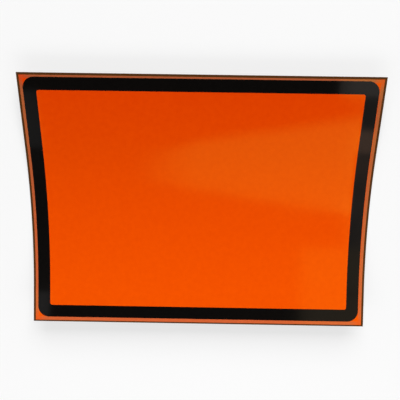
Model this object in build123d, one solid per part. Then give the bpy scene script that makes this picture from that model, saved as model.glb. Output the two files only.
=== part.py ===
from build123d import *
from math import atan2, cos, degrees, sin
import os

# Dangerous goods warning plate: a flexible magnetic sheet with an orange reflective face and a black
# border. It keeps a soft bend about its long direction and lies on its back, face up.
# Millimetres. +X runs along the long edges, +Y towards the upper long edge and +Z out of the face.
# The origin is the middle of the plate's outline, on the surface that it lies on.

# The plate, measured flat
plate_width = 400
plate_height = 300

# The bend: a straight stretch at each long edge and one round stretch between them
lower_straight = 40
upper_straight = 90
bend_radius = 430

# The layers, from the back to the face
base_thickness = 0.9
film_thickness = 0.25
border_thickness = 0.1

# The magnetic base shows as a dark rim round the film, which was laid a little low
side_rim = 2.6
end_rim = 2.1
film_drop = 0.4

# The border, with a strip of orange left outside it
side_strip = 3.5
end_strip = 3
border_width = 14.5
border_corner_radius = 13
window_corner_radius = 2.5

# How far the border was printed off the middle of the film
shift_to_left = 0.5
shift_to_top = 1

# Lengths along the back, counted from the lower edge
bend_start = lower_straight
bend_end = plate_height - upper_straight
bend_middle = (bend_start + bend_end) / 2
half_bend = (bend_end - bend_start) / 2 / bend_radius

# The film's gaps to the long edges of the plate
film_low_gap = end_rim - film_drop
film_high_gap = end_rim + film_drop

# Heights above the back
base_face = base_thickness
film_face = base_face + film_thickness
border_face = film_face + border_thickness

# How far the window's cutter stands out of the border on both sides
cutter_reach = 1


def limited(value, low, high):
    """The value, kept between two ends."""
    return min(max(value, low), high)


def plate_point(length, height):
    """Point of the bent plate at a length from the lower edge and a height above the back.

    The bend's axis is the X axis, and the middle of the bend is straight below it.
    """
    nearest_in_bend = limited(length, bend_start, bend_end)
    past_bend = length - nearest_in_bend
    turn = (nearest_in_bend - bend_middle) / bend_radius
    radius = bend_radius - height
    y = radius * sin(turn) + past_bend * cos(turn)
    z = past_bend * sin(turn) - radius * cos(turn)
    return (y, z)


def bent_line(start, end, height):
    """Edges along the bent plate between two lengths, at one height above the back."""
    bend_ends = [stop for stop in (bend_start, bend_end) if start < stop < end]
    stops = [start, *bend_ends, end]
    edges = []
    for first, last in zip(stops[:-1], stops[1:]):
        middle = (first + last) / 2
        ends = (plate_point(first, height), plate_point(last, height))
        if bend_start < middle < bend_end:
            edges.append(ThreePointArc(ends[0], plate_point(middle, height), ends[1]))
        else:
            edges.append(Line(*ends))
    return edges


def bent_layer(low_gap, high_gap, side_gap, bottom, top):
    """Sheet between two heights above the back, short of the plate's edges by the three gaps."""
    start = low_gap
    end = plate_height - high_gap
    edges = bent_line(start, end, bottom) + bent_line(start, end, top)
    edges.append(Line(plate_point(start, bottom), plate_point(start, top)))
    edges.append(Line(plate_point(end, bottom), plate_point(end, top)))
    section = Plane.YZ * make_face(edges)
    return extrude(section, plate_width / 2 - side_gap, both=True)


def magnetic_base():
    """Dark magnetic sheet, the full size of the plate."""
    return bent_layer(0, 0, 0, 0, base_face)


def orange_film():
    """Reflective film on the base, which leaves a narrow dark rim all round."""
    return bent_layer(film_low_gap, film_high_gap, side_rim, base_face, film_face)


def rounded_corners(sheet, radius):
    """The sheet with its four corners rounded. They are its shortest edges."""
    return fillet(sheet.edges().sort_by(SortBy.LENGTH)[:4], radius)


def black_border():
    """Border frame on the film, with round corners outside and small round corners in its window."""
    low_gap = film_low_gap + end_strip + shift_to_top
    high_gap = film_high_gap + end_strip - shift_to_top
    side_gap = side_rim + side_strip
    outline = bent_layer(low_gap, high_gap, side_gap, film_face, border_face)
    outline = rounded_corners(outline, border_corner_radius)
    window = bent_layer(
        low_gap + border_width,
        high_gap + border_width,
        side_gap + border_width,
        film_face - cutter_reach,
        border_face + cutter_reach,
    )
    window = rounded_corners(window, window_corner_radius)
    return Pos(-shift_to_left, 0, 0) * (outline - window)


def rest_place(base):
    """Turn and shift that lay the plate on its back, as it comes to rest.

    The plate rocks about the bend's axis until its centre of mass hangs straight below that axis.
    """
    centre = base.center(CenterOf.MASS)
    off_plumb = limited(atan2(centre.Y, -centre.Z), -half_bend, half_bend)
    rocked = Rot(-degrees(off_plumb), 0, 0)
    box = (rocked * base).bounding_box()
    return Pos(0, -box.center().Y, -box.min.Z) * rocked


base = magnetic_base()
place = rest_place(base)
nodes = {
    "magnetic_base": base,
    "orange_film": orange_film(),
    "black_border": black_border(),
}

os.makedirs("parts", exist_ok=True)
for name, piece in nodes.items():
    export_step(place * piece, "parts/" + name + ".step")
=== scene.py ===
from math import atan2, cos, pi, radians, sin, sqrt

import bmesh
import bpy
from mathutils import Matrix, Vector


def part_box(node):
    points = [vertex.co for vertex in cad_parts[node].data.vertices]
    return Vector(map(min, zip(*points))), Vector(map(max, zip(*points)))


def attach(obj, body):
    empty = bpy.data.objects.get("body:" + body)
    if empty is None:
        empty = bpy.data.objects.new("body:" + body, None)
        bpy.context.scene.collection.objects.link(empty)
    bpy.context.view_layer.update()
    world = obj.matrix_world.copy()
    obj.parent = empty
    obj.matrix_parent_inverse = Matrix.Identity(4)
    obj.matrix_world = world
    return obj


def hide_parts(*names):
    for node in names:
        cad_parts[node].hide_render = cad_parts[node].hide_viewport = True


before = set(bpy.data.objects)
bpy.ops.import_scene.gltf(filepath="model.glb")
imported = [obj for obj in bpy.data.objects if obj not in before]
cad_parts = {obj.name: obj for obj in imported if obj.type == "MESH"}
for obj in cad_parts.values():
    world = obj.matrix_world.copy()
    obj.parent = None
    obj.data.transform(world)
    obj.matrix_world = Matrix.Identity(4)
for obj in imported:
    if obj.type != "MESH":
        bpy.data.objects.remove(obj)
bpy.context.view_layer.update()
MM = 0.001

# The plate measured flat and its bend, as in the part
plate_height = 300 * MM
lower_straight = 40 * MM
upper_straight = 90 * MM
bend_radius = 430 * MM

# The layers, from the back to the face
base_thickness = 0.9 * MM
film_thickness = 0.25 * MM
border_thickness = 0.1 * MM

# The dark rim round the film, which was laid a little low
side_rim = 2.6 * MM
end_rim = 2.1 * MM
film_drop = 0.4 * MM
film_low_gap = end_rim - film_drop
film_high_gap = end_rim + film_drop

# The border frame
side_strip = 3.5 * MM
end_strip = 3.0 * MM
border_width = 14.5 * MM
border_corner_radius = 13 * MM
window_corner_radius = 2.5 * MM
shift_to_left = 0.5 * MM
shift_to_top = 1.0 * MM

# Mesh steps: rows up the plate, columns across it and rows round each corner
row_step = 2.5 * MM
column_step = 20 * MM
edge_column_step = 5 * MM
corner_rows = 10

# Share of its half width over which a sheet with no window has narrower columns at its sides
edge_share = 0.1

# Rounding of each layer's cut edge
base_edge_rounding = 0.12 * MM
film_edge_rounding = 0.06 * MM
border_edge_rounding = 0.03 * MM

# The film is paler along its cut edges: wholly in from the edge, then less and less up to an end
pale_edge = 2.6 * MM
pale_edge_end = 4.6 * MM
pale_corner = 4 * MM
corner_paleness = 0.4

# The middle part of a noise's values, which its tones are spread over
noise_low = 0.3
noise_high = 0.7

# The camera, which looks down on the plate from beyond its upper edge
camera_position = Vector((5.2 * MM, 203.4 * MM, 646.2 * MM))
camera_turns = (radians(-17.34), radians(0.42), radians(0.90))
sensor_width = 36
focal_length = 51.67


# Shape of the bent plate


def limited(value, low, high):
    """The value, kept between two ends."""
    return min(max(value, low), high)


def point_about_bend(length, height):
    """(y, z) at a length from the lower edge and a height above the back, about the bend's axis."""
    bend_start = lower_straight
    bend_end = plate_height - upper_straight
    nearest_in_bend = limited(length, bend_start, bend_end)
    past_bend = length - nearest_in_bend
    turn = (nearest_in_bend - (bend_start + bend_end) / 2) / bend_radius
    radius = bend_radius - height
    y = radius * sin(turn) + past_bend * cos(turn)
    z = past_bend * sin(turn) - radius * cos(turn)
    return Vector((y, z))


def find_seat():
    """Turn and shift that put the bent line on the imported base, matched at its two back edges."""
    vertices = [vertex.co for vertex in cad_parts["magnetic_base"].data.vertices]
    low_edge = min(vertices, key=lambda corner: corner.y)
    high_edge = max(vertices, key=lambda corner: corner.y)
    start = point_about_bend(0, 0)
    end = point_about_bend(plate_height, 0)
    packed_slope = atan2(high_edge.z - low_edge.z, high_edge.y - low_edge.y)
    turn = packed_slope - atan2(end.y - start.y, end.x - start.x)
    turned_start = Matrix.Rotation(turn, 2) @ start
    shift = Vector((low_edge.y, low_edge.z)) - turned_start
    return Matrix.Rotation(turn, 2), shift


seat_turn, seat_shift = find_seat()


def plate_point(x, length, height):
    """Point of the lying plate, in the row frame."""
    y, z = seat_turn @ point_about_bend(length, height) + seat_shift
    return Vector((x, y, z))


# Meshes of the three layers


def row_lengths(start, end, stops):
    """Lengths of the mesh's rows between two edges, with a row at each stop."""
    marks = sorted({start, end, *(stop for stop in stops if start < stop < end)})
    rows = []
    for low, high in zip(marks[:-1], marks[1:]):
        count = max(1, round((high - low) / row_step))
        rows += [low + (high - low) * step / count for step in range(count)]
    return rows + [end]


def spread(low, high, count):
    """Evenly spaced values from low up to, but not including, high."""
    return [low + (high - low) * step / count for step in range(count)]


def corner_cut(distance, radius):
    """How far a round corner pulls the side in, at a distance from the end edge."""
    if distance >= radius:
        return 0
    return radius - sqrt(radius ** 2 - (radius - distance) ** 2)


def round_corner_stops(start, end, radius):
    """Lengths at which the rows follow round corners at both ends."""
    cuts = [radius * (1 - cos(pi / 2 * step / corner_rows)) for step in range(corner_rows + 1)]
    return [start + cut for cut in cuts] + [end - cut for cut in cuts]


def bent_sheet(name, low_gap, high_gap, side_gap, bottom, thickness, rounding,
               corner_radius=0, window_inset=0, window_radius=0, sideways=0):
    """Sheet that follows the bend, with optional round corners and an open window."""
    half_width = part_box("magnetic_base")[1].x - side_gap
    start, end = low_gap, plate_height - high_gap
    stops = [lower_straight, plate_height - upper_straight]
    stops += round_corner_stops(start, end, corner_radius)
    stops += round_corner_stops(start + window_inset, end - window_inset, window_radius)
    rows = row_lengths(start, end, stops)
    inset = window_inset or edge_share * half_width
    side_count = max(1, round(inset / edge_column_step))
    middle_count = round(2 * (half_width - inset) / column_step)

    mesh = bmesh.new()
    grid = []
    for length in rows:
        to_end = min(length - start, end - length)
        outer = half_width - corner_cut(to_end, corner_radius)
        inner = half_width - inset - corner_cut(max(to_end - window_inset, 0), window_radius)
        columns = spread(-outer, -inner, side_count) + spread(-inner, inner, middle_count)
        columns += spread(inner, outer, side_count) + [outer]
        grid.append([mesh.verts.new(plate_point(x + sideways, length, bottom)) for x in columns])
    for low_row, high_row, low, high in zip(grid[:-1], grid[1:], rows[:-1], rows[1:]):
        in_window = window_inset and start + window_inset < (low + high) / 2 < end - window_inset
        for column in range(len(low_row) - 1):
            is_middle = side_count <= column < side_count + middle_count
            if in_window and is_middle:
                continue
            below, above = low_row[column:column + 2], high_row[column:column + 2]
            mesh.faces.new((*below, *reversed(above)))
    loose = [vertex for vertex in mesh.verts if not vertex.link_faces]
    bmesh.ops.delete(mesh, geom=loose, context="VERTS")
    return finished_sheet(name, mesh, thickness, rounding)


def finished_sheet(name, mesh, thickness, rounding):
    """Object with the sheet's thickness and softened edges."""
    data = bpy.data.meshes.new(name)
    mesh.to_mesh(data)
    mesh.free()
    data.polygons.foreach_set("use_smooth", [True] * len(data.polygons))
    sheet = bpy.data.objects.new(name, data)
    bpy.context.scene.collection.objects.link(sheet)
    solid = sheet.modifiers.new("thickness", "SOLIDIFY")
    solid.thickness = thickness
    solid.offset = 1
    bevel = sheet.modifiers.new("edge rounding", "BEVEL")
    bevel.width = rounding
    bevel.segments = 2
    bevel.limit_method = "ANGLE"
    bevel.angle_limit = radians(40)
    bevel.harden_normals = True
    return sheet


# Materials


def new_material(name):
    """Empty node material with its Principled shader."""
    material = bpy.data.materials.new(name)
    material.use_nodes = True
    return material, material.node_tree.nodes, material.node_tree.links


def noise(nodes, links, scale, detail, stretch=(1, 1, 1)):
    """Noise in the row frame. The scale counts features per metre."""
    place = nodes.new("ShaderNodeTexCoord")
    mapping = nodes.new("ShaderNodeMapping")
    mapping.inputs["Scale"].default_value = stretch
    texture = nodes.new("ShaderNodeTexNoise")
    texture.inputs["Scale"].default_value = scale
    texture.inputs["Detail"].default_value = detail
    links.new(place.outputs["Object"], mapping.inputs["Vector"])
    links.new(mapping.outputs["Vector"], texture.inputs["Vector"])
    return texture.outputs["Fac"]


def tone(nodes, links, fac, dark, light, low=noise_low, high=noise_high):
    """Colour between two tones, as a noise or another value goes from low to high."""
    ramp = nodes.new("ShaderNodeValToRGB")
    ramp.color_ramp.elements[0].position = low
    ramp.color_ramp.elements[0].color = (*dark, 1)
    ramp.color_ramp.elements[1].position = high
    ramp.color_ramp.elements[1].color = (*light, 1)
    links.new(fac, ramp.inputs["Fac"])
    return ramp.outputs["Color"]


def ramp_between(nodes, links, value, start, end, low=0, high=1):
    """Value that goes evenly from low to high as another goes from the start to the end."""
    remap = nodes.new("ShaderNodeMapRange")
    remap.inputs["From Min"].default_value = start
    remap.inputs["From Max"].default_value = end
    remap.inputs["To Min"].default_value = low
    remap.inputs["To Max"].default_value = high
    links.new(value, remap.inputs["Value"])
    return remap.outputs["Result"]


def spread_value(nodes, links, fac, low, high):
    """Value between two limits, driven by a noise."""
    return ramp_between(nodes, links, fac, noise_low, noise_high, low, high)


def bump(nodes, links, height, depth, under=None):
    """Surface relief of a given depth in metres, on top of another relief if given."""
    relief = nodes.new("ShaderNodeBump")
    relief.inputs["Strength"].default_value = 1
    relief.inputs["Distance"].default_value = depth
    links.new(height, relief.inputs["Height"])
    if under:
        links.new(under, relief.inputs["Normal"])
    return relief.outputs["Normal"]


def blend(nodes, links, factor, first, second):
    """Colour that goes from the first to the second as the factor goes from 0 to 1."""
    mix = nodes.new("ShaderNodeMix")
    mix.data_type = "RGBA"
    links.new(factor, mix.inputs["Factor"])
    links.new(first, mix.inputs["A"])
    links.new(second, mix.inputs["B"])
    return mix.outputs["Result"]


def calculated(nodes, links, operation, first, second=None):
    """Result of a maths node. The second input is a number or a socket."""
    maths = nodes.new("ShaderNodeMath")
    maths.operation = operation
    links.new(first, maths.inputs[0])
    if isinstance(second, float):
        maths.inputs[1].default_value = second
    elif second:
        links.new(second, maths.inputs[1])
    return maths.outputs["Value"]


def film_material():
    """Orange reflective film: saturated, smooth and glossy, paler along its cut edges, with painted
    light and shade that darken its upper part and make it yellower towards the lower edge.
    """
    material, nodes, links = new_material("orange_film")
    shader = nodes["Principled BSDF"]
    place = nodes.new("ShaderNodeTexCoord")
    split = nodes.new("ShaderNodeSeparateXYZ")
    links.new(place.outputs["Object"], split.inputs["Vector"])

    mottling = noise(nodes, links, 180, 3)
    # Painted light and shade: the film's colour changes up the plate, darker at the upper part,
    # brightest in the middle and yellower towards the lower edge, as the light falls on the bend
    upper = tone(nodes, links, mottling, (0.834, 0.0516, 0.0001), (0.862, 0.0586, 0.0002))
    middle = tone(nodes, links, mottling, (0.884, 0.0659, 0.0001), (0.912, 0.0741, 0.0002))
    lower = tone(nodes, links, mottling, (0.840, 0.0772, 0.0002), (0.868, 0.0865, 0.0003))
    low_edge, high_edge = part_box("orange_film")
    bend_top = plate_point(0, plate_height - upper_straight, base_thickness).y
    to_middle = ramp_between(nodes, links, split.outputs["Y"], high_edge.y, bend_top)
    to_lower = ramp_between(nodes, links, split.outputs["Y"], bend_top, low_edge.y)
    field_with_painted_light = blend(nodes, links, to_lower, blend(nodes, links, to_middle, upper, middle), lower)

    past_side = calculated(nodes, links, "ABSOLUTE", split.outputs["X"])
    past_side = calculated(nodes, links, "SUBTRACT", past_side, high_edge.x)
    past_end = calculated(nodes, links, "ABSOLUTE", split.outputs["Y"])
    past_end = calculated(nodes, links, "SUBTRACT", past_end, high_edge.y)
    past_edge = calculated(nodes, links, "MAXIMUM", past_side, past_end)
    past_both = calculated(nodes, links, "MINIMUM", past_side, past_end)
    on_strip = ramp_between(nodes, links, past_edge, -pale_edge_end, -pale_edge)
    off_corner = ramp_between(
        nodes, links, past_both, -pale_corner, -border_corner_radius, corner_paleness, 1
    )
    at_edge = calculated(nodes, links, "MULTIPLY", on_strip, off_corner)
    edge_upper = tone(nodes, links, mottling, (0.44, 0.104, 0.036), (0.48, 0.112, 0.040))
    edge_lower = tone(nodes, links, mottling, (0.60, 0.112, 0.032), (0.64, 0.120, 0.036))
    downward = ramp_between(nodes, links, split.outputs["Y"], high_edge.y, low_edge.y)
    edge = blend(nodes, links, downward, edge_upper, edge_lower)
    links.new(blend(nodes, links, at_edge, field_with_painted_light, edge), shader.inputs["Base Color"])

    smear = noise(nodes, links, 14, 4)
    links.new(spread_value(nodes, links, smear, 0.085, 0.115), shader.inputs["Roughness"])
    waves = bump(nodes, links, noise(nodes, links, 11, 1), 0.0003)
    links.new(waves, shader.inputs["Normal"])
    shader.inputs["IOR"].default_value = 1.6
    shader.inputs["Specular IOR Level"].default_value = 1
    shader.inputs["Specular Tint"].default_value = (1, 1, 0.065, 1)
    return material


def border_material():
    """Black border print: near black and glossy, with the film's faint waves."""
    material, nodes, links = new_material("black_border")
    shader = nodes["Principled BSDF"]
    mottling = noise(nodes, links, 260, 3)
    links.new(
        tone(nodes, links, mottling, (0.0027, 0.0021, 0.0018), (0.0035, 0.0028, 0.0024)),
        shader.inputs["Base Color"],
    )
    smear = noise(nodes, links, 20, 4)
    links.new(spread_value(nodes, links, smear, 0.09, 0.12), shader.inputs["Roughness"])
    waves = bump(nodes, links, noise(nodes, links, 11, 1), 0.0003)
    links.new(waves, shader.inputs["Normal"])
    shader.inputs["IOR"].default_value = 1.6
    return material


def rubber_material():
    """Magnetic rubber: dark brown and matte, with faint rolling streaks and a fine grain."""
    material, nodes, links = new_material("magnetic_rubber")
    shader = nodes["Principled BSDF"]
    streaks = noise(nodes, links, 60, 4, (0.12, 1, 1))
    links.new(
        tone(nodes, links, streaks, (0.072, 0.026, 0.006), (0.092, 0.033, 0.008)),
        shader.inputs["Base Color"],
    )
    wear = noise(nodes, links, 25, 5)
    links.new(spread_value(nodes, links, wear, 0.55, 0.7), shader.inputs["Roughness"])
    lines = bump(nodes, links, noise(nodes, links, 400, 3, (0.05, 1, 1)), 0.00004)
    grain = bump(nodes, links, noise(nodes, links, 2500, 3), 0.00003, lines)
    links.new(grain, shader.inputs["Normal"])
    shader.inputs["Specular IOR Level"].default_value = 0.05
    return material


def dress(piece, material, node):
    """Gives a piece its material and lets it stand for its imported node."""
    piece.data.materials.append(material)
    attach(piece, "root")
    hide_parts(node)


# The three layers of the plate


def add_base():
    """Dark magnetic sheet, the full size of the plate."""
    sheet = bent_sheet("base_sheet", 0, 0, 0, 0, base_thickness, base_edge_rounding)
    dress(sheet, rubber_material(), "magnetic_base")


def add_film():
    """Orange film on the base, inside its dark rim."""
    sheet = bent_sheet(
        "film_sheet",
        film_low_gap,
        film_high_gap,
        side_rim,
        base_thickness,
        film_thickness,
        film_edge_rounding,
    )
    dress(sheet, film_material(), "orange_film")


def add_border():
    """Black border frame on the film."""
    sheet = bent_sheet(
        "border_frame",
        film_low_gap + end_strip + shift_to_top,
        film_high_gap + end_strip - shift_to_top,
        side_rim + side_strip,
        base_thickness + film_thickness,
        border_thickness,
        border_edge_rounding,
        border_corner_radius,
        border_width,
        window_corner_radius,
        -shift_to_left,
    )
    dress(sheet, border_material(), "black_border")


# Floor, light and camera


def add_floor():
    """Plain pale floor, which goes over into the white surroundings far from the plate."""
    half_size = 6
    whitening_start, whitening_end = 0.5, 1.6
    near_whiteness = 0.6
    data = bpy.data.meshes.new("floor")
    corners = [(-half_size, -half_size, 0), (half_size, -half_size, 0),
               (half_size, half_size, 0), (-half_size, half_size, 0)]
    data.from_pydata(corners, [], [(0, 1, 2, 3)])
    floor = bpy.data.objects.new("floor", data)
    bpy.context.scene.collection.objects.link(floor)
    material, nodes, links = new_material("pale_floor")
    shader = nodes["Principled BSDF"]
    shader.inputs["Base Color"].default_value = (0.86, 0.86, 0.86, 1)
    shader.inputs["Roughness"].default_value = 0.9
    shader.inputs["Specular IOR Level"].default_value = 0.1
    glow = nodes.new("ShaderNodeEmission")
    seen = nodes.new("ShaderNodeLightPath")
    place = nodes.new("ShaderNodeTexCoord")
    distance = nodes.new("ShaderNodeVectorMath")
    distance.operation = "LENGTH"
    links.new(place.outputs["Object"], distance.inputs[0])
    share = ramp_between(
        nodes, links, distance.outputs["Value"], whitening_start, whitening_end, near_whiteness, 1
    )
    share = calculated(nodes, links, "MULTIPLY", seen.outputs["Is Camera Ray"], share)
    mix = nodes.new("ShaderNodeMixShader")
    links.new(share, mix.inputs["Fac"])
    links.new(shader.outputs["BSDF"], mix.inputs[1])
    links.new(glow.outputs["Emission"], mix.inputs[2])
    links.new(mix.outputs["Shader"], nodes["Material Output"].inputs["Surface"])
    data.materials.append(material)


def add_softbox(name, position, target, size, power):
    """Rectangular soft light that faces a target."""
    light = bpy.data.lights.new(name, "AREA")
    light.shape = "RECTANGLE"
    light.size, light.size_y = size
    light.energy = power
    softbox = bpy.data.objects.new(name, light)
    bpy.context.scene.collection.objects.link(softbox)
    facing = (Vector(target) - Vector(position)).to_track_quat("-Z", "Y").to_matrix().to_4x4()
    softbox.matrix_world = Matrix.Translation(position) @ facing
    return softbox


def add_card(name, left, right, near, height, depth, brightness, color=(1, 1, 1)):
    """Flat card, seen only in the plate's gloss.

    It lies level between two places along the plate and faces down. It reaches away from the
    camera behind its near edge, and its brightness is that of its surface.
    """
    light = bpy.data.lights.new(name, "AREA")
    light.shape = "RECTANGLE"
    light.size, light.size_y = right - left, depth
    light.energy = brightness * light.size * light.size_y * pi
    light.color = color
    card = bpy.data.objects.new(name, light)
    bpy.context.scene.collection.objects.link(card)
    card.location = ((left + right) / 2, near - depth / 2, height)
    card.visible_camera = False
    card.visible_diffuse = False
    return light


def between_stops(nodes, links, along, stops, item):
    """One item of the three stops, which changes evenly from each stop to the next."""
    first, middle, last = stops
    start = ramp_between(nodes, links, along, first[0], middle[0], first[item], middle[item])
    end = ramp_between(nodes, links, along, middle[0], last[0], 0, last[item] - middle[item])
    return calculated(nodes, links, "ADD", start, end)


def add_wedge_card():
    """Level card whose light is a wedge with soft edges, from its tip at the left to its wide end.

    Each stop has its place along the plate, those of the near and far edge, and the brightness.
    """
    tip = (-0.100, -0.033, -0.035, 0.04)
    turn = (-0.006, -0.001, -0.040, 0.31)
    wide_end = (0.218, 0.039, -0.0535, 0.36)
    near_softness, far_softness = 0.010, 0.002
    height = 0.15

    near_side = wide_end[1] + near_softness
    depth = near_side - wide_end[2] + far_softness
    light = add_card("wedge_card", tip[0], wide_end[0], near_side, height, depth, 1)
    light.use_nodes = True
    nodes, links = light.node_tree.nodes, light.node_tree.links
    place = nodes.new("ShaderNodeNewGeometry")
    split = nodes.new("ShaderNodeSeparateXYZ")
    links.new(place.outputs["Position"], split.inputs["Vector"])
    along, across = split.outputs["X"], split.outputs["Y"]
    stops = (tip, turn, wide_end)
    near, far, brightness = (
        between_stops(nodes, links, along, stops, item) for item in (1, 2, 3)
    )
    past_near = calculated(nodes, links, "SUBTRACT", near, across)
    past_near = ramp_between(nodes, links, past_near, -near_softness, near_softness)
    short_of_far = calculated(nodes, links, "SUBTRACT", across, far)
    short_of_far = ramp_between(nodes, links, short_of_far, -far_softness, far_softness)
    inside = calculated(nodes, links, "MULTIPLY", past_near, short_of_far)
    strength = calculated(nodes, links, "MULTIPLY", inside, brightness)
    links.new(strength, nodes["Emission"].inputs["Strength"])


def add_lights():
    """Softboxes at both ends, and the cards whose reflections lie on the plate."""
    key = add_softbox("key", (0.3, 2.6, 1.7), (0, 0, 0), (2.4, 1.6), 116)
    front = add_softbox("front", (0, -0.6, 0.6), (0, 0, 0), (1.4, 0.4), 3.7)
    for softbox in (key, front):
        softbox.visible_glossy = False

    add_wedge_card()
    high, low = 1.2, 0.25

    # The glints on the border at the right, and the faint box at the lower right
    warm = (1, 0.88, 0.80)
    orange = (1, 0.55, 0.35)
    sand = (1, 0.80, 0.52)
    add_card("right_card", 0.512, 0.9, -0.40, high, 0.24, 0.135, warm)
    add_card("side_card", 0.470, 0.9, -0.21, high, 0.19, 0.16, warm)
    add_card("low_right_card", 0.322, 0.9, -0.03, high, 0.18, 0.26, sand)
    add_card("corner_card", 0.207, 0.275, 0.075, low, 0.048, 0.28, warm)
    add_card("peak_card", 0.246, 0.275, -0.029, low, 0.043, 0.62, orange)

    # The glints on the border at the left
    add_card("left_card", -0.300, -0.253, 0.03, low, 0.098, 0.12)
    add_card("left_foot_card", -0.300, -0.240, -0.102, low, 0.038, 0.2)


def add_world():
    """Pale surroundings that are dark overhead, and white where the camera sees them."""
    world = bpy.data.worlds.new("studio")
    bpy.context.scene.world = world
    world.use_nodes = True
    nodes, links = world.node_tree.nodes, world.node_tree.links
    place = nodes.new("ShaderNodeTexCoord")
    split = nodes.new("ShaderNodeSeparateXYZ")
    links.new(place.outputs["Generated"], split.inputs["Vector"])
    room = nodes["Background"]
    dark_from, dark_at = 0.70, 0.80
    upward = split.outputs["Z"]
    room_color = tone(nodes, links, upward, (1, 1, 1), (0.04, 0.04, 0.04), dark_from, dark_at)
    links.new(room_color, room.inputs["Color"])
    room.inputs["Strength"].default_value = 0.35
    backdrop = nodes.new("ShaderNodeBackground")
    backdrop.inputs["Color"].default_value = (1, 1, 1, 1)
    backdrop.inputs["Strength"].default_value = 1
    path = nodes.new("ShaderNodeLightPath")
    mix = nodes.new("ShaderNodeMixShader")
    links.new(path.outputs["Is Camera Ray"], mix.inputs["Fac"])
    links.new(room.outputs["Background"], mix.inputs[1])
    links.new(backdrop.outputs["Background"], mix.inputs[2])
    links.new(mix.outputs["Shader"], nodes["World Output"].inputs["Surface"])


def add_camera():
    """Camera at the photo's viewing angle."""
    lens = bpy.data.cameras.new("camera")
    lens.sensor_width = sensor_width
    lens.lens = focal_length
    camera = bpy.data.objects.new("camera", lens)
    bpy.context.scene.collection.objects.link(camera)
    camera.location = camera_position
    camera.rotation_mode = "ZYX"
    camera.rotation_euler = camera_turns
    bpy.context.scene.camera = camera


add_base()
add_film()
add_border()
add_floor()
add_lights()
add_world()
add_camera()
bpy.context.scene.view_settings.view_transform = "Standard"
